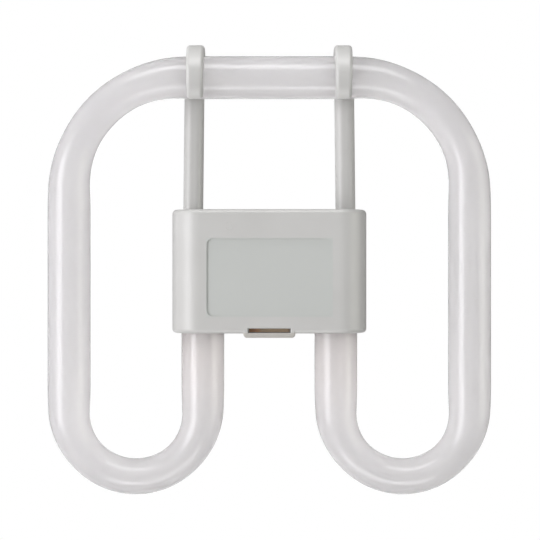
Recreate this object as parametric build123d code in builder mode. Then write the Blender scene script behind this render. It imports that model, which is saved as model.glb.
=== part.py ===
"""A square compact fluorescent lamp: a bent glass tube held in a four-pin plug-in cap.

Millimetres. +X is right and +Z is up as the lamp is seen from the front, and the front faces -Y.
The origin is the middle of the four pins, on the face that they stand out of.
"""
import os

from build123d import *

# The glass tube's own section
TUBE_D = 13.3
TUBE_R = TUBE_D / 2
GLASS_GAP = 0.2
CEMENT_WALL = 1.05
CEMENT_GAP = 0.05
CEMENT_H = 6.0
CEMENT_R = TUBE_R + CEMENT_WALL
NOTCH_R = TUBE_R + GLASS_GAP

# The cap, front to back, round the ends of the glass
CAP_W = 60.25
CAP_H = 38.1
WALL = 1.6
BACK_WALL = 2.0
FRONT_ROOM = 0.5
BACK_ROOM = 1.0
SIDE_ROOM = 0.125
BOSS_H = 1.2
FRONT_EDGE_R = 8.6
BACK_EDGE_R = 3.0
RIM_R = 1.3
SEAM_EASE = 0.25
JOIN_GAP = 0.15
FRONT_DEPTH = CEMENT_R + FRONT_ROOM + WALL
REAR_DEPTH = CEMENT_R + BACK_ROOM + BACK_WALL
REAR_Y = -BOSS_H
AXIS_Y = REAR_Y - REAR_DEPTH
FRONT_Y = AXIS_Y - FRONT_DEPTH
CAP_TOP = CAP_H / 2
CAP_BOTTOM = -CAP_H / 2
FLOOR_Z = CAP_BOTTOM + WALL
CEILING_Z = CAP_TOP - WALL
INSIDE_X = CAP_W / 2 - WALL
INSIDE_W = CAP_W - 2 * WALL
INSIDE_H = CAP_H - 2 * WALL
BACK_INSIDE_Y = REAR_Y - BACK_WALL

# The bent glass
GLASS_WIDTH = 138.0
TOP_Z = 60.3
LOOP_Z = -43.0
CORNER_R = 34.9
CORNER_SQUEEZE = 0.86
LOOP_SQUEEZE = 0.835
SQUEEZE_LEAD = 8.0
SQUEEZE_RUN = 20.0
BEND_STATIONS = 16
GLASS_IN_CAP = 20.05
GLASS_END_R = 2.4
TIP_D = 4.0
TIP_LENGTH = 6.0
TIP_R = 1.8
GLASS_END_Z = CAP_BOTTOM + GLASS_IN_CAP
LEG_X = INSIDE_X - SIDE_ROOM - CEMENT_R
SIDE_X = GLASS_WIDTH / 2 - TUBE_R
LOOP_R = (SIDE_X - LEG_X) / 2
CORNER_X = SIDE_X - CORNER_R
CORNER_Z = TOP_Z - CORNER_R

# The sunk panel on the front
PANEL_SIDE = 10.925
PANEL_ABOVE = 9.05
PANEL_BELOW = 5.35
PANEL_R = 1.9
PANEL_DEPTH = 0.45
PANEL_W = CAP_W - 2 * PANEL_SIDE
PANEL_H = CAP_H - PANEL_ABOVE - PANEL_BELOW
PANEL_Z = (PANEL_BELOW - PANEL_ABOVE) / 2

# The lip under the cap, with the slot for the latch tongue
SLOT_W = 13.0
SLOT_H = 1.3
SLOT_RISE = 0.25
SLOT_EASE = 0.25
LIP_SIDE = 1.45
LIP_DROP = 1.3
LIP_R = 1.1
LIP_EASE = 0.4
TONGUE_SET_BACK = 3.0
TONGUE_SIDE_GAP = 0.3
TONGUE_T = 1.0
TONGUE_ROOT = 6.0
SLIT_W = 0.8
CATCH_W = 8.0
CATCH_H = 0.6
CATCH_RUN = 1.8
CATCH_BACK = 1.6
CATCH_GAP = 0.25
LIP_W = SLOT_W + 2 * LIP_SIDE
LIP_BOTTOM = CAP_BOTTOM - LIP_DROP
SLOT_BOTTOM = CAP_BOTTOM + SLOT_RISE
SLOT_TOP = SLOT_BOTTOM + SLOT_H
TONGUE_W = SLOT_W - 2 * TONGUE_SIDE_GAP
TONGUE_BOTTOM = SLOT_BOTTOM + JOIN_GAP
TONGUE_FRONT_Y = FRONT_Y + TONGUE_SET_BACK
CATCH_Y = TONGUE_FRONT_Y + CATCH_BACK

# The support arms, and the clips that they carry round the top of the glass
ARM_W = 6.3
ARM_INSET = 5.975
ARM_LEAN = 0.45
ARM_FRONT_R = 2.6
ARM_BACK_R = 0.35
ARM_ROOT = 1.0
CLIP_SHIFT = 0.8
CLIP_W = 5.6
CLIP_TIP_W = 5.0
CLIP_T = 3.15
CLIP_OUT_EDGE_R = 1.1
CLIP_IN_EDGE_R = 0.4
CLIP_WRAP_DEG = 226.0
CLIP_EASE_DEG = 70.0
CLIP_STATIONS = 10
CLIP_MID_R = NOTCH_R + CLIP_T / 2
ARM_FOOT_X = CAP_W / 2 - ARM_INSET
ARM_TOP_X = ARM_FOOT_X - ARM_LEAN
CLIP_X = ARM_TOP_X - CLIP_SHIFT

# The pins, and the boss and seat that hold them
PIN_R = 1.175
PIN_OUT = 6.0
PIN_TIP_R = 0.9
PIN_PITCH_X = 7.92
PIN_PITCH_Z = 6.35
PIN_SHANK_R = 1.5
PIN_HEAD_R = 2.1
PIN_HEAD_H = 0.8
PIN_GAP = 0.05
BOSS_MARGIN = 6.0
BOSS_R = 2.5
BOSS_EASE = 0.4
SEAT_MARGIN = 3.6
SEAT_T = 1.4
SEAT_Y = BACK_INSIDE_Y - SEAT_T
BOSS_W = PIN_PITCH_X + 2 * BOSS_MARGIN
BOSS_TALL = PIN_PITCH_Z + 2 * BOSS_MARGIN
SEAT_W = PIN_PITCH_X + 2 * SEAT_MARGIN
SEAT_TALL = PIN_PITCH_Z + 2 * SEAT_MARGIN

# Inside the cap
SADDLE_T = 1.6
SADDLE_WALL = 1.35
SADDLE_BELOW_END = 7.0
TAB_T = 0.9
TAB_REACH = 2.0
TAB_TOP_W = 20.0
TAB_SIDE_H = 10.0
TAB_SIDE_BELOW = 10.05
WIRE_R = 0.35
WIRE_OFFSET = 2.1
WIRE_BEND = 1.2
WIRE_HIGH = 7.0
WIRE_LOW = 3.0
WIRE_DROP = 5.5

os.makedirs("parts", exist_ok=True)


def eased(share):
    """Turn a share of the way into one that starts and ends gently."""
    share = min(max(share, 0.0), 1.0)
    return share * share * (3 - 2 * share)


# The discharge tube
with BuildPart() as discharge_tube:
    # Two legs rise to their closed ends in the cap, and two sides run up to the corners
    with BuildSketch(Plane.XY.offset(LOOP_Z + SQUEEZE_LEAD)):
        with Locations((-LEG_X, AXIS_Y), (LEG_X, AXIS_Y)):
            Circle(TUBE_R)
    extrude(amount=GLASS_END_Z - LOOP_Z - SQUEEZE_LEAD)
    closed_ends = edges().group_by(Axis.Z)[-1]
    fillet(closed_ends, GLASS_END_R)
    with BuildSketch(Plane.XY.offset(GLASS_END_Z)):
        with Locations((-LEG_X, AXIS_Y), (LEG_X, AXIS_Y)):
            Circle(TIP_D / 2)
    extrude(amount=TIP_LENGTH)
    tip_ends = edges().group_by(Axis.Z)[-1]
    fillet(tip_ends, TIP_R)
    with BuildSketch(Plane.XY.offset(LOOP_Z + SQUEEZE_LEAD)):
        with Locations((-SIDE_X, AXIS_Y), (SIDE_X, AXIS_Y)):
            Circle(TUBE_R)
    extrude(amount=CORNER_Z - LOOP_Z - 2 * SQUEEZE_LEAD)
    # The top runs straight between the corners
    with BuildSketch(Plane.YZ.offset(SQUEEZE_LEAD - CORNER_X)):
        with Locations((AXIS_Y, TOP_Z)):
            Circle(TUBE_R)
    extrude(amount=2 * (CORNER_X - SQUEEZE_LEAD))
    # Each bend is thinner across its own plane, where the soft glass was drawn round
    for side in (-1, 1):
        outer_x = side * SIDE_X
        inner_x = side * LEG_X
        middle_x = (outer_x + inner_x) / 2
        with BuildLine() as loop_line:
            Line((outer_x, AXIS_Y, LOOP_Z + SQUEEZE_LEAD), (outer_x, AXIS_Y, LOOP_Z))
            ThreePointArc(
                (outer_x, AXIS_Y, LOOP_Z),
                (middle_x, AXIS_Y, LOOP_Z - LOOP_R),
                (inner_x, AXIS_Y, LOOP_Z),
            )
            Line((inner_x, AXIS_Y, LOOP_Z), (inner_x, AXIS_Y, LOOP_Z + SQUEEZE_LEAD))
        loop = loop_line.wire()
        for station in range(BEND_STATIONS + 1):
            share = station / BEND_STATIONS
            from_end = loop.length * min(share, 1 - share)
            thin = 1 - (1 - LOOP_SQUEEZE) * eased(from_end / (SQUEEZE_LEAD + SQUEEZE_RUN))
            with BuildSketch(Plane(origin=loop @ share, x_dir=(0, 1, 0), z_dir=loop % share)):
                Ellipse(TUBE_R, TUBE_R * thin)
        sweep(multisection=True)
        corner_x = side * CORNER_X
        with BuildLine() as corner_line:
            Line((outer_x, AXIS_Y, CORNER_Z - SQUEEZE_LEAD), (outer_x, AXIS_Y, CORNER_Z))
            TangentArc((outer_x, AXIS_Y, CORNER_Z), (corner_x, AXIS_Y, TOP_Z), tangent=(0, 0, 1))
            Line((corner_x, AXIS_Y, TOP_Z), (corner_x - side * SQUEEZE_LEAD, AXIS_Y, TOP_Z))
        corner = corner_line.wire()
        for station in range(BEND_STATIONS + 1):
            share = station / BEND_STATIONS
            from_end = corner.length * min(share, 1 - share)
            thin = 1 - (1 - CORNER_SQUEEZE) * eased(from_end / (SQUEEZE_LEAD + SQUEEZE_RUN))
            with BuildSketch(Plane(origin=corner @ share, x_dir=(0, 1, 0), z_dir=corner % share)):
                Ellipse(TUBE_R, TUBE_R * thin)
        sweep(multisection=True)

# The front moulding of the cap
with BuildPart() as front_cover:
    with BuildSketch(Plane.XY.offset(CAP_BOTTOM)):
        with Locations((0, (FRONT_Y + AXIS_Y) / 2)):
            Rectangle(CAP_W, FRONT_DEPTH)
        fillet(vertices().group_by(Axis.Y)[0], FRONT_EDGE_R)
    extrude(amount=CAP_H)
    top_and_bottom = faces().filter_by(Axis.Z).edges()
    fillet([edge for edge in top_and_bottom if edge.center().Y < AXIS_Y - 0.01], RIM_R)
    chamfer(faces().sort_by(Axis.Y)[-1].edges(), SEAM_EASE)
    # The hollow inside, open at the back
    with BuildSketch(Plane.XY.offset(FLOOR_Z)):
        with Locations((0, (FRONT_Y + WALL + AXIS_Y) / 2)):
            Rectangle(INSIDE_W, FRONT_DEPTH - WALL)
        fillet(vertices().group_by(Axis.Y)[0], FRONT_EDGE_R - WALL)
    extrude(amount=INSIDE_H, mode=Mode.SUBTRACT)
    # The sunk panel
    with BuildSketch(Plane.XZ.offset(-FRONT_Y)):
        with Locations((0, PANEL_Z)):
            RectangleRounded(PANEL_W, PANEL_H, PANEL_R)
    extrude(amount=-PANEL_DEPTH, mode=Mode.SUBTRACT)
    # The lip, and the slot behind which the latch tongue lies
    with BuildSketch(Plane.XZ.offset(-FRONT_Y - LIP_EASE)):
        with Locations((0, (LIP_BOTTOM + FLOOR_Z) / 2)):
            Rectangle(LIP_W, FLOOR_Z - LIP_BOTTOM)
        fillet(vertices().group_by(Axis.Y)[0], LIP_R)
    extrude(amount=LIP_EASE - FRONT_DEPTH)
    with BuildSketch(Plane.XZ.offset(-FRONT_Y - LIP_EASE)):
        with Locations((0, (LIP_BOTTOM + FLOOR_Z + WALL) / 2)):
            Rectangle(LIP_W, FLOOR_Z + WALL - LIP_BOTTOM)
        fillet(vertices().group_by(Axis.Y)[0], LIP_R)
    extrude(amount=LIP_EASE, taper=45)
    with BuildSketch(Plane.XZ.offset(-FRONT_Y)):
        with Locations((0, (SLOT_TOP + SLOT_BOTTOM) / 2)):
            Rectangle(SLOT_W, SLOT_H)
    extrude(amount=-FRONT_DEPTH, mode=Mode.SUBTRACT)
    with BuildSketch(Plane.XZ.offset(-FRONT_Y)):
        with Locations((0, (SLOT_TOP + SLOT_BOTTOM) / 2)):
            Rectangle(SLOT_W + 2 * SLOT_EASE, SLOT_H + 2 * SLOT_EASE)
    extrude(amount=-SLOT_EASE, taper=45, mode=Mode.SUBTRACT)
    with BuildSketch(Plane.XZ.offset(-FRONT_Y - WALL)):
        with Locations((0, (FLOOR_Z + SLOT_BOTTOM) / 2)):
            Rectangle(SLOT_W, FLOOR_Z - SLOT_BOTTOM)
    extrude(amount=WALL - FRONT_DEPTH, mode=Mode.SUBTRACT)
    # The pocket in the lip that the tongue's catch drops into
    with BuildSketch(Plane.XY.offset(SLOT_BOTTOM)):
        with Locations((0, CATCH_Y + CATCH_RUN / 2)):
            Rectangle(CATCH_W + 2 * CATCH_GAP, CATCH_RUN + 2 * CATCH_GAP)
    extrude(amount=-(CATCH_H - JOIN_GAP + CATCH_GAP), mode=Mode.SUBTRACT)
    # The notches that the legs of the glass pass through
    with BuildSketch(Plane.XY.offset(CAP_BOTTOM)):
        with Locations((-LEG_X, AXIS_Y), (LEG_X, AXIS_Y)):
            Circle(NOTCH_R)
    extrude(amount=WALL, mode=Mode.SUBTRACT)

# The rear moulding of the cap, with its arms and clips
with BuildPart() as rear_base:
    with BuildSketch(Plane.XY.offset(CAP_BOTTOM)):
        with Locations((0, (AXIS_Y + REAR_Y) / 2)):
            Rectangle(CAP_W, REAR_DEPTH)
        fillet(vertices().group_by(Axis.Y)[-1], BACK_EDGE_R)
    extrude(amount=CAP_H)
    top_and_bottom = faces().filter_by(Axis.Z).edges()
    fillet([edge for edge in top_and_bottom if edge.center().Y > AXIS_Y + 0.01], RIM_R)
    chamfer(faces().sort_by(Axis.Y)[0].edges(), SEAM_EASE)
    # The hollow inside, open at the front
    with BuildSketch(Plane.XY.offset(FLOOR_Z)):
        with Locations((0, (AXIS_Y + BACK_INSIDE_Y) / 2)):
            Rectangle(INSIDE_W, BACK_INSIDE_Y - AXIS_Y)
        fillet(vertices().group_by(Axis.Y)[-1], BACK_EDGE_R - WALL)
    extrude(amount=INSIDE_H, mode=Mode.SUBTRACT)
    # The saddles that the closed ends of the glass lie in
    with BuildSketch(Plane.XY.offset(GLASS_END_Z - SADDLE_BELOW_END)):
        for side in (-1, 1):
            near_x = side * (LEG_X - NOTCH_R - SADDLE_WALL)
            far_x = side * (INSIDE_X + WALL / 2)
            with Locations(((near_x + far_x) / 2, (AXIS_Y + BACK_INSIDE_Y + WALL / 2) / 2)):
                Rectangle(abs(far_x - near_x), BACK_INSIDE_Y + WALL / 2 - AXIS_Y)
        with Locations((-LEG_X, AXIS_Y), (LEG_X, AXIS_Y)):
            Circle(NOTCH_R, mode=Mode.SUBTRACT)
    extrude(amount=SADDLE_T)
    # The notches that the legs of the glass pass through
    with BuildSketch(Plane.XY.offset(CAP_BOTTOM)):
        with Locations((-LEG_X, AXIS_Y), (LEG_X, AXIS_Y)):
            Circle(NOTCH_R)
    extrude(amount=WALL, mode=Mode.SUBTRACT)
    # The tabs that locate the front moulding: one at the top, one at each side
    with Locations((0, AXIS_Y, CEILING_Z - JOIN_GAP - TAB_T / 2)):
        Box(TAB_TOP_W, 2 * TAB_REACH, TAB_T)
    with Locations((0, AXIS_Y + TAB_REACH / 2, CEILING_Z)):
        Box(TAB_TOP_W, TAB_REACH, 2 * (JOIN_GAP + TAB_T))
    for side in (-1, 1):
        with Locations((side * (INSIDE_X - JOIN_GAP - TAB_T / 2), AXIS_Y, CAP_TOP - TAB_SIDE_BELOW)):
            Box(TAB_T, 2 * TAB_REACH, TAB_SIDE_H)
        with Locations((side * INSIDE_X, AXIS_Y + TAB_REACH / 2, CAP_TOP - TAB_SIDE_BELOW)):
            Box(2 * (JOIN_GAP + TAB_T), TAB_REACH, TAB_SIDE_H)
    # The latch tongue, freed from the lower wall by two slits, and its catch
    with Locations((0, (TONGUE_FRONT_Y + AXIS_Y + WALL) / 2, TONGUE_BOTTOM + TONGUE_T / 2)):
        Box(TONGUE_W, AXIS_Y + WALL - TONGUE_FRONT_Y, TONGUE_T)
    for side in (-1, 1):
        with Locations((side * (TONGUE_W + SLIT_W) / 2, AXIS_Y + TONGUE_ROOT / 2, CAP_BOTTOM)):
            Box(SLIT_W, TONGUE_ROOT, 4 * WALL, mode=Mode.SUBTRACT)
    with BuildSketch(Plane.YZ.offset(-CATCH_W / 2)):
        with BuildLine():
            Polyline(
                (CATCH_Y, TONGUE_BOTTOM + TONGUE_T / 2),
                (CATCH_Y, TONGUE_BOTTOM),
                (CATCH_Y + CATCH_RUN, TONGUE_BOTTOM - CATCH_H),
                (CATCH_Y + CATCH_RUN, TONGUE_BOTTOM + TONGUE_T / 2),
                close=True,
            )
        make_face()
    extrude(amount=CATCH_W)
    # The boss outside and the seat inside, with the holes for the pins
    with BuildSketch(Plane.XZ.offset(-REAR_Y)):
        RectangleRounded(BOSS_W, BOSS_TALL, BOSS_R)
    extrude(amount=-BOSS_H)
    chamfer(faces().sort_by(Axis.Y)[-1].edges(), BOSS_EASE)
    with BuildSketch(Plane.XZ.offset(-BACK_INSIDE_Y)):
        Rectangle(SEAT_W, SEAT_TALL)
    extrude(amount=SEAT_T)
    with BuildSketch(Plane.XZ):
        with GridLocations(PIN_PITCH_X, PIN_PITCH_Z, 2, 2):
            Circle(PIN_SHANK_R + PIN_GAP)
    extrude(amount=-SEAT_Y, mode=Mode.SUBTRACT)
    for side in (-1, 1):
        # An arm, rounded in front, leans in a little as it rises behind the glass
        arm_y = AXIS_Y + CLIP_MID_R
        arm_ends = (
            (CAP_TOP - ARM_ROOT, ARM_FOOT_X),
            (TOP_Z, ARM_TOP_X),
        )
        for height, arm_x in arm_ends:
            with BuildSketch(Plane.XY.offset(height)):
                with Locations((side * arm_x, arm_y)):
                    Rectangle(ARM_W, CLIP_T)
                fillet(vertices().group_by(Axis.Y)[0], ARM_FRONT_R)
                fillet(vertices().group_by(Axis.Y)[-1], ARM_BACK_R)
        loft()
        # A clip goes on from the arm, over the glass and down its front, and narrows to its tip
        clip_middle = (side * CLIP_X, AXIS_Y, TOP_Z)
        with BuildLine(Plane(origin=clip_middle, x_dir=(0, 1, 0), z_dir=(1, 0, 0))) as clip_line:
            CenterArc((0, 0), CLIP_MID_R, 0, CLIP_WRAP_DEG)
        clip = clip_line.wire()
        for station in range(CLIP_STATIONS + 1):
            share = station / CLIP_STATIONS
            turned = share * CLIP_WRAP_DEG
            settled = eased(turned / CLIP_EASE_DEG)
            narrowed = eased((turned - CLIP_EASE_DEG) / (CLIP_WRAP_DEG - CLIP_EASE_DEG))
            band_w = ARM_W + (CLIP_W - ARM_W) * settled + (CLIP_TIP_W - CLIP_W) * narrowed
            band_x = side * (ARM_TOP_X - CLIP_X) * (1 - settled)
            in_edge_r = ARM_FRONT_R + (CLIP_IN_EDGE_R - ARM_FRONT_R) * settled
            out_edge_r = ARM_BACK_R + (CLIP_OUT_EDGE_R - ARM_BACK_R) * settled
            with BuildSketch(Plane(origin=clip @ share, x_dir=(1, 0, 0), z_dir=clip % share)):
                with Locations((band_x, 0)):
                    Rectangle(band_w, CLIP_T)
                fillet(vertices().group_by(Axis.Y)[0], in_edge_r)
                fillet(vertices().group_by(Axis.Y)[-1], out_edge_r)
        sweep(multisection=True)

for piece, name in (
    (discharge_tube, "discharge_tube"),
    (front_cover, "front_cover"),
    (rear_base, "rear_base"),
):
    piece.part.label = name
    export_step(piece.part, f"parts/{name}.step")

# The pins, each pressed in from the inside by its thicker shank until its head meets the seat
PIN_PLACES = ((1, -1, 1), (2, -1, -1), (3, 1, 1), (4, 1, -1))
for number, across, up in PIN_PLACES:
    pin_at = (across * PIN_PITCH_X / 2, up * PIN_PITCH_Z / 2)
    with BuildPart() as contact_pin:
        with BuildSketch(Plane.XZ):
            with Locations(pin_at):
                Circle(PIN_R)
        extrude(amount=-PIN_OUT)
        fillet(edges().group_by(Axis.Y)[-1], PIN_TIP_R)
        with BuildSketch(Plane.XZ):
            with Locations(pin_at):
                Circle(PIN_SHANK_R)
        extrude(amount=-SEAT_Y)
        with BuildSketch(Plane.XZ.offset(-SEAT_Y)):
            with Locations(pin_at):
                Circle(PIN_HEAD_R)
        extrude(amount=PIN_HEAD_H)
    contact_pin.part.label = f"contact_pin_{number}"
    export_step(contact_pin.part, f"parts/contact_pin_{number}.step")

# The lead wires: two from each closed end of the glass, one to the head of each pin
for number, across, up in PIN_PLACES:
    start_x = across * (LEG_X - WIRE_OFFSET)
    run_y = AXIS_Y - up * WIRE_OFFSET
    pin_x = across * PIN_PITCH_X / 2
    pin_z = up * PIN_PITCH_Z / 2
    turn_z = GLASS_END_Z + (WIRE_HIGH if up > 0 else WIRE_LOW)
    turn_x = pin_x if up > 0 else pin_x + across * WIRE_DROP
    corners = [
        (start_x, run_y, GLASS_END_Z),
        (start_x, run_y, turn_z),
        (turn_x, run_y, turn_z),
        (turn_x, run_y, pin_z),
        (pin_x, run_y, pin_z),
        (pin_x, SEAT_Y - PIN_HEAD_H, pin_z),
    ]
    if up > 0:
        corners.pop(4)
    with BuildPart() as lead_wire:
        with BuildLine():
            FilletPolyline(*corners, radius=WIRE_BEND)
        with BuildSketch(Plane.XY.offset(GLASS_END_Z)):
            with Locations((start_x, run_y)):
                Circle(WIRE_R)
        sweep()
    lead_wire.part.label = f"lead_wire_{number}"
    export_step(lead_wire.part, f"parts/lead_wire_{number}.step")

# The cement collars that hold the legs of the glass on the floor of the cap
for name, across in (("left", -1), ("right", 1)):
    with BuildPart() as tube_cement:
        with BuildSketch(Plane.XY.offset(FLOOR_Z)):
            with Locations((across * LEG_X, AXIS_Y)):
                Circle(CEMENT_R)
                Circle(TUBE_R + CEMENT_GAP, mode=Mode.SUBTRACT)
        extrude(amount=CEMENT_H)
    tube_cement.part.label = f"tube_cement_{name}"
    export_step(tube_cement.part, f"parts/tube_cement_{name}.step")
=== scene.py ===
# %% [markdown]
# # A square compact fluorescent lamp
#
# The lamp is a bent glass tube, white inside with phosphor, that plugs in by a moulded cap. Its
# solids come from the CAD frame and are already the right shape, so this lesson is about finish:
# what glass, moulded plastic and plated metal look like close up, and how a small studio shows them.

# %% Load the solids
import math

import bmesh
import bpy
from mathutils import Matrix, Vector


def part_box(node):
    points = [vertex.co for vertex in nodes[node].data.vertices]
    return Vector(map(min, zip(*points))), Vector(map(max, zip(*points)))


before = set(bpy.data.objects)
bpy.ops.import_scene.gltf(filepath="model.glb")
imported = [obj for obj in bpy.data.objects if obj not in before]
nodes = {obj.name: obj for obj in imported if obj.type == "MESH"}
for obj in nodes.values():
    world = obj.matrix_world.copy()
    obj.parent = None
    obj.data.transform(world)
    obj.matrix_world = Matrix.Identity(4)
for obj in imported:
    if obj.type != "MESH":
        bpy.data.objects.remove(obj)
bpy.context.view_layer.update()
MM = 0.001
print("pieces:", ", ".join(sorted(nodes)))

# %% [markdown]
# ## Writing shaders as sums
#
# A node tree can be drawn by hand, but a finish that is mostly arithmetic reads better as Python.
# `Signal` wraps one output socket, and each operator on it adds a Math node. `Finish` holds a
# material, and its method `node` makes any node: settings first, then sockets. Every pattern reads
# Object coordinates, which are the lamp's own frame in metres, so a spot keeps its size and place.


# %% The shader helper
class Signal:
    """One output of a node. Arithmetic on it adds Math nodes to the same tree."""

    def __init__(self, finish, socket):
        self.finish = finish
        self.socket = socket

    def also(self, name):
        """Another output of the same node."""
        return Signal(self.finish, self.socket.node.outputs[name])

    def math(self, operation, first, second=0.0):
        return self.finish.node("ShaderNodeMath", {"operation": operation}, {0: first, 1: second})

    def __add__(self, other):
        return self.math("ADD", self, other)

    def __radd__(self, other):
        return self.math("ADD", other, self)

    def __sub__(self, other):
        return self.math("SUBTRACT", self, other)

    def __rsub__(self, other):
        return self.math("SUBTRACT", other, self)

    def __mul__(self, other):
        return self.math("MULTIPLY", self, other)

    def __rmul__(self, other):
        return self.math("MULTIPLY", other, self)

    def __abs__(self):
        return self.math("ABSOLUTE", self)


class Finish:
    """A node tree that is being written, for a material or for the world."""

    def __init__(self, owner):
        self.owner = owner
        owner.use_nodes = True
        self.tree = owner.node_tree
        self.tree.nodes.clear()

    def node(self, kind, settings=None, sockets=None, output=0):
        made = self.tree.nodes.new(kind)
        for name, value in (settings or {}).items():
            setattr(made, name, value)
        for name, value in (sockets or {}).items():
            if isinstance(value, Signal):
                self.tree.links.new(value.socket, made.inputs[name])
            else:
                made.inputs[name].default_value = value
        return Signal(self, made.outputs[output]) if made.outputs else None

    def place(self):
        return self.node("ShaderNodeTexCoord", output="Object")

    def axes(self, vector):
        """The three numbers of a vector."""
        split = self.node("ShaderNodeSeparateXYZ", sockets={0: vector})
        return split, split.also("Y"), split.also("Z")

    def distance(self, place, point):
        """How far a place is from a fixed point."""
        sockets = {0: place, 1: point}
        return self.node("ShaderNodeVectorMath", {"operation": "DISTANCE"}, sockets, output="Value")

    def noise(self, place, size, detail=2.0, roughness=0.5):
        """Soft noise from 0 to 1, with patches of about this size in metres."""
        sockets = {"Vector": place, "Scale": 1 / size, "Detail": detail, "Roughness": roughness}
        return self.node("ShaderNodeTexNoise", sockets=sockets)

    def ramp(self, value, low, high):
        """A smooth step from 0 to 1 as value goes from low to high."""
        sockets = {0: value, 1: low, 2: high}
        return self.node("ShaderNodeMapRange", {"interpolation_type": "SMOOTHSTEP"}, sockets)

    def mix(self, share, first, second):
        """A colour between two colours."""
        sockets = {"Factor": share, 6: first, 7: second}
        return self.node("ShaderNodeMix", {"data_type": "RGBA"}, sockets, output=2)

    def bump(self, height, depth):
        """A normal for a surface that is this many metres deep where height goes from 0 to 1."""
        sockets = {"Height": height, "Distance": depth, "Strength": 1.0}
        return self.node("ShaderNodeBump", sockets=sockets)

    def principled(self, settings=None, **sockets):
        """The surface shader; an underscore in a name stands for a space."""
        named = {name.replace("_", " "): value for name, value in sockets.items()}
        return self.node("ShaderNodeBsdfPrincipled", settings, named)

    def surface(self, shader):
        self.node("ShaderNodeOutputMaterial", sockets={"Surface": shader})
        return self.owner


def new_finish(name):
    return Finish(bpy.data.materials.new(name))


def colour(red, green, blue):
    """A linear colour with full alpha, as colour sockets take it."""
    return (red, green, blue, 1.0)


print("shader helper ready")

# %% [markdown]
# ## Phosphor glass
#
# The tube is clear glass with a white powder baked on its inside. From outside that is a milky body
# under a hard, wet-looking skin. Paint would do for the skin, but paint has a lit side and a dark
# side, and a lamp tube hardly has them: light goes in at one side and comes out at the other. So the
# shader lets light travel a few centimetres under a smooth surface. The powder is thicker in some
# places than in others, and drawn glass is never quite straight, so the white drifts a little and
# the highlights waver. Near the two ends, just below the cap, the electrodes have warmed the white,
# and there the white is also painted lighter than the rest: painted light that fills the cap's shade.

# %% Phosphor glass
GLASS_WHITE = colour(0.65, 0.634, 0.638)
GLASS_THIN = colour(0.624, 0.608, 0.613)
GLASS_WARM_LIT = colour(0.716, 0.671, 0.66)
tube_low, tube_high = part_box("discharge_tube")
cap_low, cap_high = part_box("front_cover")
WARM_LIT_REACH = 35 * MM
WARM_LIT_EDGE = 4 * MM
SCATTER = 70 * MM
CLOUD_SIZE = 22 * MM
POWDER_GRAIN = 0.5 * MM
SMEAR_SIZE = 35 * MM
WAVER_SIZE = 12 * MM
WAVER_DEPTH = 0.012 * MM
CLEAN_GLASS = 0.12
GLASS_IOR = 1.5


def phosphor_glass():
    f = new_finish("phosphor_glass")
    place = f.place()
    x, _, z = f.axes(place)
    cloud = f.noise(place, CLOUD_SIZE, 3.0, 0.55)
    grain = f.noise(place, POWDER_GRAIN, 2.0, 0.6)
    powder = f.ramp(cloud, 0.3, 0.7) * 0.8 + grain * 0.2
    white = f.mix(powder, GLASS_THIN, GLASS_WHITE)
    # Below the cap the white is warmer and also painted lighter: painted light that fills the cap's shade
    # on the legs.
    across = f.ramp(abs(x), cap_high.x + WARM_LIT_EDGE, cap_high.x)
    upward = f.ramp(z, cap_low.z - WARM_LIT_REACH, cap_low.z) * f.ramp(z, cap_high.z + WARM_LIT_EDGE, cap_high.z)
    warm_lit = across * upward
    smear = f.ramp(f.noise(place, SMEAR_SIZE, 4.0, 0.65), 0.5, 0.75)
    waver = f.noise(place, WAVER_SIZE, 1.0)
    return f.surface(f.principled(
        {"subsurface_method": "BURLEY"},
        Base_Color=f.mix(warm_lit * (0.6 + cloud * 0.4), white, GLASS_WARM_LIT),
        Roughness=CLEAN_GLASS + smear * 0.05 + grain * 0.01,
        IOR=GLASS_IOR,
        Subsurface_Weight=1.0,
        Subsurface_Radius=(1.0, 0.97, 0.95),
        Subsurface_Scale=SCATTER,
        Normal=f.bump(waver, WAVER_DEPTH),
    ))


glass = phosphor_glass()
print("glass:", len(glass.node_tree.nodes), "nodes")

# %% [markdown]
# ## Moulded cap plastic
#
# The cap is a heat-proof plastic in a pale grey. Its mould was spark-eroded, which leaves a fine
# matt grain that takes the edge off the shine. One function gives the colour, sheen and grain that
# both mouldings share, and each moulding then adds what is its own.

# %% Plastic shared by both mouldings
PLASTIC = colour(0.609, 0.606, 0.591)
PLASTIC_DEEP = colour(0.576, 0.573, 0.557)
PLASTIC_IOR = 1.5
FLOW_SIZE = 18 * MM
MOULD_GRAIN = 0.35 * MM
GRAIN_DEPTH = 0.012 * MM
SATIN = 0.29


def moulded(f, place):
    flow = f.noise(place, FLOW_SIZE, 3.0, 0.5)
    grain = f.noise(place, MOULD_GRAIN, 2.0, 0.55)
    tone = f.ramp(flow, 0.3, 0.7) * 0.7 + grain * 0.3
    shade = f.mix(tone, PLASTIC_DEEP, PLASTIC)
    sheen = SATIN + flow * 0.05 + grain * 0.04
    return shade, sheen, grain


print("plastic colours:", PLASTIC[:3], PLASTIC_DEEP[:3])

# %% [markdown]
# ## The front cover
#
# The sunk panel of the cover was polished less than the rest, so it is a little greener and duller.
# The lip at the lower edge is a darker, warmer grey. Boxes of Object coordinates mask both.
# Above the panel's left corner the mould left the faint ring of an ejector pin, which is only a bump.

# %% Front cover
PANEL_TINT = colour(0.556, 0.578, 0.557)
PANEL_HALF_W = 19.2 * MM
PANEL_LOW = -13.7 * MM
PANEL_HIGH = 10.0 * MM
PANEL_BACK = cap_low.y + 4 * MM
SOFT = 0.4 * MM
MARK_AT = (-12.2 * MM, cap_low.y, 13.7 * MM)
MARK_R = 1.2 * MM
MARK_LINE = 0.3 * MM
MARK_IN_GRAINS = 4.0
LIP_WARM = colour(0.5, 0.48, 0.44)
LIP_TOP = -19.0 * MM
LIP_HALF_W = 8.2 * MM


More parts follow.
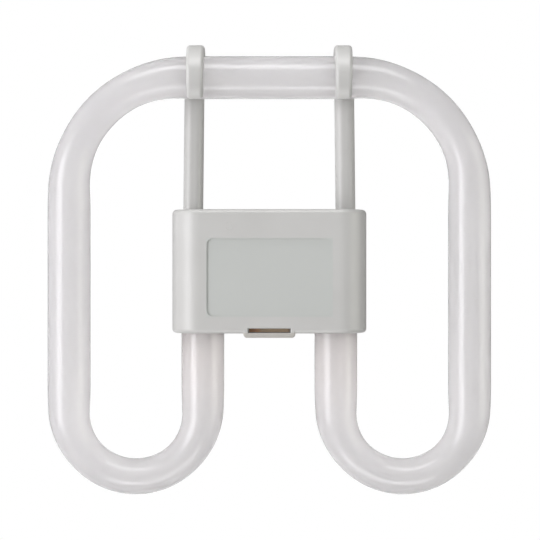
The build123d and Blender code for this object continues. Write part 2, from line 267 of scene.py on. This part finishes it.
def cover_plastic():
    f = new_finish("cover_plastic")
    place = f.place()
    x, y, z = f.axes(place)
    shade, sheen, grain = moulded(f, place)
    across = f.ramp(abs(x), PANEL_HALF_W + SOFT, PANEL_HALF_W)
    upward = f.ramp(z, PANEL_LOW - SOFT, PANEL_LOW) * f.ramp(z, PANEL_HIGH + SOFT, PANEL_HIGH)
    panel = across * upward * f.ramp(y, PANEL_BACK, PANEL_BACK - SOFT)
    ring = f.ramp(abs(f.distance(place, MARK_AT) - MARK_R), MARK_LINE, 0.0)
    lip = f.ramp(z, LIP_TOP + SOFT, LIP_TOP) * f.ramp(abs(x), LIP_HALF_W + SOFT, LIP_HALF_W)
    face = f.mix(panel * 0.8, shade, PANEL_TINT)
    return f.surface(f.principled(
        Base_Color=f.mix(lip * (0.7 + grain * 0.3), face, LIP_WARM),
        Roughness=sheen + panel * 0.08,
        IOR=PLASTIC_IOR,
        Normal=f.bump(grain - ring * MARK_IN_GRAINS, GRAIN_DEPTH),
    ))


cover = cover_plastic()
print("cover:", len(cover.node_tree.nodes), "nodes")

# %% [markdown]
# ## The rear base
#
# The base is the same plastic, with the arms and clips. The end of its latch tongue looks out of the
# slot in the cover's lip, and there the plastic is painted a dark warm brown, redder at one end:
# painted shade for the deep slot.

# %% Rear base
SLOT_SHADE_BROWN = colour(0.53, 0.385, 0.242)
SLOT_SHADE_RED = colour(0.63, 0.315, 0.155)
TONGUE_HALF_W = 7.0 * MM
TONGUE_TOP = -16.5 * MM
TONGUE_BACK = cap_low.y + 9 * MM
TONGUE_FADE = 3 * MM
SHADE_RED_FROM = -2 * MM
SHADE_RED_TO = -4 * MM


def base_plastic():
    f = new_finish("base_plastic")
    place = f.place()
    x, y, z = f.axes(place)
    shade, sheen, grain = moulded(f, place)
    # The tongue's tip is painted a dark warm brown, redder at its left end: painted shade for the deep
    # slot.
    tip = f.ramp(abs(x), TONGUE_HALF_W + SOFT, TONGUE_HALF_W) * f.ramp(z, TONGUE_TOP + SOFT, TONGUE_TOP)
    painted_slot_shade = tip * f.ramp(y, TONGUE_BACK, TONGUE_BACK - TONGUE_FADE)
    slot_shade_colour = f.mix(f.ramp(x, SHADE_RED_FROM, SHADE_RED_TO), SLOT_SHADE_BROWN, SLOT_SHADE_RED)
    return f.surface(f.principled(
        Base_Color=f.mix(painted_slot_shade * (0.8 + grain * 0.2), shade, slot_shade_colour),
        Roughness=sheen + painted_slot_shade * 0.15,
        IOR=PLASTIC_IOR,
        Normal=f.bump(grain, GRAIN_DEPTH),
    ))


base = base_plastic()
print("base:", len(base.node_tree.nodes), "nodes")

# %% [markdown]
# ## Pins, wires and cement
#
# The pins are turned from brass and plated with nickel: the tool leaves rings round them, and the
# plating has dulled in patches. The wires are drawn steel. The cement is a dry, gritty paste.

# %% Metal and cement
NICKEL = colour(0.66, 0.63, 0.58)
NICKEL_DULL = colour(0.5, 0.46, 0.4)
STEEL = colour(0.5, 0.49, 0.48)
STEEL_DULL = colour(0.36, 0.34, 0.32)
CEMENT = colour(0.6, 0.56, 0.5)
CEMENT_DARK = colour(0.46, 0.42, 0.37)
RING_PITCH = 0.3 * MM
RING_DEPTH = 0.004 * MM
DULL_PATCH = 2.5 * MM
WIRE_PATCH = 1.5 * MM
GRIT_SIZE = 0.4 * MM
GRIT_DEPTH = 0.08 * MM


def plated_pin():
    f = new_finish("plated_pin")
    place = f.place()
    along = f.axes(place)[1]
    patch = f.ramp(f.noise(place, DULL_PATCH, 3.0, 0.6), 0.45, 0.7)
    turn = along * (math.tau / RING_PITCH)
    rings = turn.math("SINE", turn) * 0.5 + 0.5
    return f.surface(f.principled(
        Base_Color=f.mix(patch, NICKEL, NICKEL_DULL),
        Metallic=1.0,
        Roughness=0.2 + patch * 0.18 + rings * 0.04,
        Normal=f.bump(rings, RING_DEPTH),
    ))


def drawn_wire():
    f = new_finish("drawn_wire")
    place = f.place()
    patch = f.noise(place, WIRE_PATCH, 3.0, 0.6)
    return f.surface(f.principled(
        Base_Color=f.mix(patch, STEEL, STEEL_DULL),
        Metallic=1.0,
        Roughness=0.3 + patch * 0.2,
    ))


def dry_cement():
    f = new_finish("dry_cement")
    place = f.place()
    grit = f.noise(place, GRIT_SIZE, 4.0, 0.7)
    return f.surface(f.principled(
        Base_Color=f.mix(grit, CEMENT_DARK, CEMENT),
        Roughness=0.82 + grit * 0.12,
        Normal=f.bump(grit, GRIT_DEPTH),
    ))


pin, wire, cement = plated_pin(), drawn_wire(), dry_cement()
print("made:", pin.name, wire.name, cement.name)

# %% Put the finishes on the solids
FINISHES = {
    "discharge_tube": glass,
    "front_cover": cover,
    "rear_base": base,
    "contact_pin": pin,
    "lead_wire": wire,
    "tube_cement": cement,
}
for name, node in nodes.items():
    finish = next(made for start, made in FINISHES.items() if name.startswith(start))
    node.data.materials.clear()
    node.data.materials.append(finish)
    print(name, "gets", finish.name)

# %% [markdown]
# ## The floor
#
# The lamp hangs in the air by its pins, well above a pale round floor. The floor is ordinary matt
# paint in the middle, where the lamp's soft shadow falls. Toward the rim it turns to plain white
# for the camera, so that its edge melts into the white backdrop. Reflections see that white only
# behind the lamp, or a false bright line would run along the front of the glass.

# %% Floor
FLOOR_Z = -0.3
FLOOR_R = 1.0
RIM_FROM = 0.2
RIM_TO = 0.85
BEHIND_FROM = 0.2
BEHIND_TO = 0.6
FLOOR_PALE = colour(0.74, 0.74, 0.735)
FLOOR_MOTTLED = colour(0.71, 0.71, 0.705)
MOTTLE_SIZE = 50 * MM


def floor_paint():
    f = new_finish("floor_paint")
    place = f.place()
    paint = f.mix(f.noise(place, MOTTLE_SIZE, 3.0), FLOOR_MOTTLED, FLOOR_PALE)
    matt = f.principled(Base_Color=paint, Roughness=0.9)
    white = f.node("ShaderNodeEmission", sockets={"Color": colour(1, 1, 1), "Strength": 1.0})
    camera = f.node("ShaderNodeLightPath", output="Is Camera Ray")
    mirrored = camera.also("Is Glossy Ray") + camera.also("Is Transmission Ray")
    behind = f.ramp(f.axes(place)[1], BEHIND_FROM, BEHIND_TO)
    rim = f.ramp(f.distance(place, (0, 0, FLOOR_Z)), RIM_FROM, RIM_TO)
    seen = (camera + mirrored * behind) * rim
    return f.surface(f.node("ShaderNodeMixShader", sockets={0: seen, 1: matt, 2: white}))


disc = bmesh.new()
bmesh.ops.create_circle(disc, cap_ends=True, segments=96, radius=FLOOR_R)
bmesh.ops.translate(disc, verts=disc.verts, vec=(0, 0, FLOOR_Z))
floor_mesh = bpy.data.meshes.new("floor")
disc.to_mesh(floor_mesh)
disc.free()
floor = bpy.data.objects.new("floor", floor_mesh)
bpy.context.scene.collection.objects.link(floor)
floor_mesh.materials.append(floor_paint())
print("floor at mm:", round(FLOOR_Z / MM))

# %% [markdown]
# ## The room
#
# Glossy things show the room they stand in. Here it is dim, and dimmer behind the lamp than in front
# of it, with a white backdrop straight behind. The camera sees white everywhere. Reflections see
# white only in the backdrop, and that is what draws the thin dark line along the edges of the glass.

# %% World
ROOM_FRONT = 0.45
ROOM_BACK = 0.2
BACKDROP_DEG = 6
BACKDROP_FADE_DEG = 10
FRONT_UP_TO = -0.5
BACK_FROM = 0.2


def studio_world(front, back):
    world = bpy.data.worlds.new("studio")
    bpy.context.scene.world = world
    f = Finish(world)
    camera = f.node("ShaderNodeLightPath", output="Is Camera Ray")
    glossy = camera.also("Is Glossy Ray")
    through = camera.also("Is Transmission Ray")
    toward = f.axes(f.node("ShaderNodeTexCoord", output="Generated"))[1]
    fade = math.cos(math.radians(BACKDROP_FADE_DEG))
    backdrop = f.ramp(toward, fade, math.cos(math.radians(BACKDROP_DEG)))
    seen = camera + (glossy + through) * backdrop
    behind = f.ramp(toward, FRONT_UP_TO, BACK_FROM)
    room = f.mix(behind, colour(front, front, front), colour(back, back, back))
    shade = f.mix(seen, room, colour(1, 1, 1))
    background = f.node("ShaderNodeBackground", sockets={"Color": shade, "Strength": 1.0})
    f.node("ShaderNodeOutputWorld", sockets={"Surface": background})


studio_world(ROOM_FRONT, ROOM_BACK)
print("room level in front and behind:", ROOM_FRONT, ROOM_BACK)

# %% [markdown]
# ## Soft boxes
#
# Every highlight on the glass is the picture of a soft box. The key on the left draws the long line
# on each upright tube, with a tail that leads it on round the bends, and a card on the right draws
# the fainter second one. A strip above does the same for the level tubes, and a small strip low in
# front adds their thin lower line. Panels at the sides, above and behind only fill the shade.
#
# A photographer keeps a panel out of the shine with a polarising sheet. Here a light can be hidden
# from reflections with `gloss=False`, or from matt surfaces with `matt=False`, so that shine and
# shade are set apart. The left is a touch cool and the right a touch warm. A box's level is its
# brightness as a mirror shows it, where 1 is white, so the power that Blender wants is worked out
# from the level and the size.

# %% Soft lights
middle = Vector((0.0, (tube_low.y + tube_high.y) / 2, 0.0))
PLAIN = (1.0, 1.0, 1.0)
COOL = (1.01, 1.0, 1.03)
WARM = (1.0, 0.99, 0.91)
LIGHTS = {
    "left_key": dict(azimuth=-50, distance=1.5, width=0.88, height=1.08, level=4.5, tint=COOL),
    "key_tail": dict(
        azimuth=-43, elevation=-27, distance=1.5, width=0.8, height=0.42, level=4.4, matt=False,
    ),
    "left_side": dict(azimuth=-92, distance=1.0, width=1.0, height=1.06, level=1.5, tint=COOL, gloss=False),
    "right_front": dict(azimuth=30, distance=0.9, width=0.4, height=0.6, level=0.7, tint=WARM, gloss=False),
    "right_card": dict(azimuth=68, distance=0.9, width=0.6, height=0.9, level=2.4, tint=WARM, matt=False),
    "right_side": dict(azimuth=98, distance=1.0, width=0.6, height=1.06, level=0.7, tint=WARM),
    "top_strip": dict(elevation=58, distance=0.65, width=0.6, height=0.27, level=4.4, matt=False),
    "top_panel": dict(elevation=86, distance=0.45, width=0.5, height=0.2, level=3.3, gloss=False),
    "low_strip": dict(elevation=-55, distance=0.206, width=0.2, height=0.075, level=3.6, matt=False),
    "back_fill": dict(
        azimuth=180, elevation=10, distance=1.0, width=0.9, height=0.8, level=2.0, gloss=False,
    ),
}


def soft_light(
    name, distance, width, height, level,
    azimuth=0, elevation=0, tint=PLAIN, gloss=True, matt=True,
):
    """A rectangular soft box that faces the lamp, at angles in degrees from the camera's side."""
    turn, lift = math.radians(azimuth), math.radians(elevation)
    toward = Vector((math.sin(turn) * math.cos(lift), -math.cos(turn) * math.cos(lift), math.sin(lift)))
    data = bpy.data.lights.new(name, "AREA")
    data.shape = "RECTANGLE"
    data.size = width
    data.size_y = height
    data.energy = level * math.pi * width * height
    data.color = tint
    lamp = bpy.data.objects.new(name, data)
    lamp.location = middle + toward * distance
    lamp.rotation_euler = toward.to_track_quat("Z", "Y").to_euler()
    lamp.visible_camera = False
    lamp.visible_glossy = gloss
    lamp.visible_diffuse = matt
    bpy.context.scene.collection.objects.link(lamp)


for name, values in LIGHTS.items():
    soft_light(name, **values)
print("lights:", ", ".join(LIGHTS))

# %% [markdown]
# ## The camera
#
# The photograph looks at the lamp straight from the front. The lens follows from the distance and
# from the width of the view at the tube, and the camera stands a hair off the middle, as the
# photograph is framed.

# %% Camera
VIEW_DISTANCE = 0.508
VIEW_WIDTH = 0.1682
VIEW_SIDE = 0.0002
VIEW_UP = 0.0004
camera_data = bpy.data.cameras.new("camera")
camera_data.lens = camera_data.sensor_width * VIEW_DISTANCE / VIEW_WIDTH
camera = bpy.data.objects.new("camera", camera_data)
camera.location = middle + Vector((VIEW_SIDE, -VIEW_DISTANCE, VIEW_UP))
camera.rotation_euler = (math.radians(90), 0, 0)
bpy.context.scene.collection.objects.link(camera)
bpy.context.scene.camera = camera
bpy.context.scene.view_settings.view_transform = "Standard"
print("lens in mm:", round(camera_data.lens, 1))
